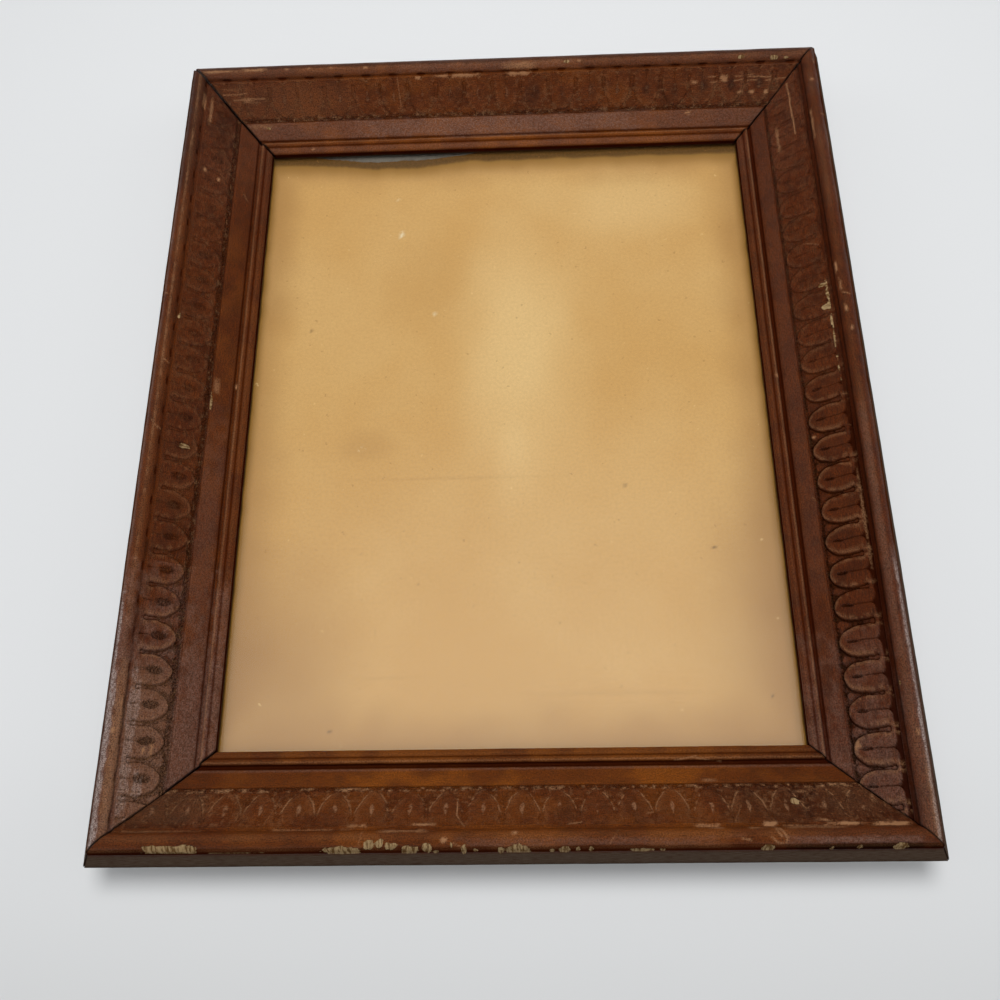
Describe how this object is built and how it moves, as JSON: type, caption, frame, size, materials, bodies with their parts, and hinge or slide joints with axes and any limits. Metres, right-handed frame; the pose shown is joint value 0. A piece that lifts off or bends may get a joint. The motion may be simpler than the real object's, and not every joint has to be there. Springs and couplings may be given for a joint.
{
  "type": "ornate wooden picture frame",
  "caption": "Mitred wooden picture frame in a scooped, pressed-pattern moulding, with glass, aged backing paper, a board held by brads, and screw eyes for hanging.",
  "frame": {"origin": "centre of the back plane, on which the frame rests face up", "axes": "+X to the right rail, +Y to the top rail, +Z out of the face"},
  "size_m": [0.2646, 0.3154, 0.0285],
  "materials": {
    "stained_wood": "worn red-brown varnish over pressed wood",
    "glass": "clear sheet glass",
    "aged_paper": "matte, yellowed and foxed",
    "chipboard": "matte grey board",
    "steel": "dull, lightly rusted"
  },
  "bodies": {
    "root": {"top_rail": "stained_wood", "bottom_rail": "stained_wood", "left_rail": "stained_wood", "right_rail": "stained_wood", "glass_pane": "glass", "backing_paper": "aged_paper", "backing_board": "chipboard", "brads_top": "steel", "brads_bottom": "steel", "brads_left": "steel", "brads_right": "steel", "corner_nails_top_left": "steel", "corner_nails_top_right": "steel", "corner_nails_bottom_left": "steel", "corner_nails_bottom_right": "steel", "left_screw_eye": "steel", "right_screw_eye": "steel"}
  },
  "joints": []
}
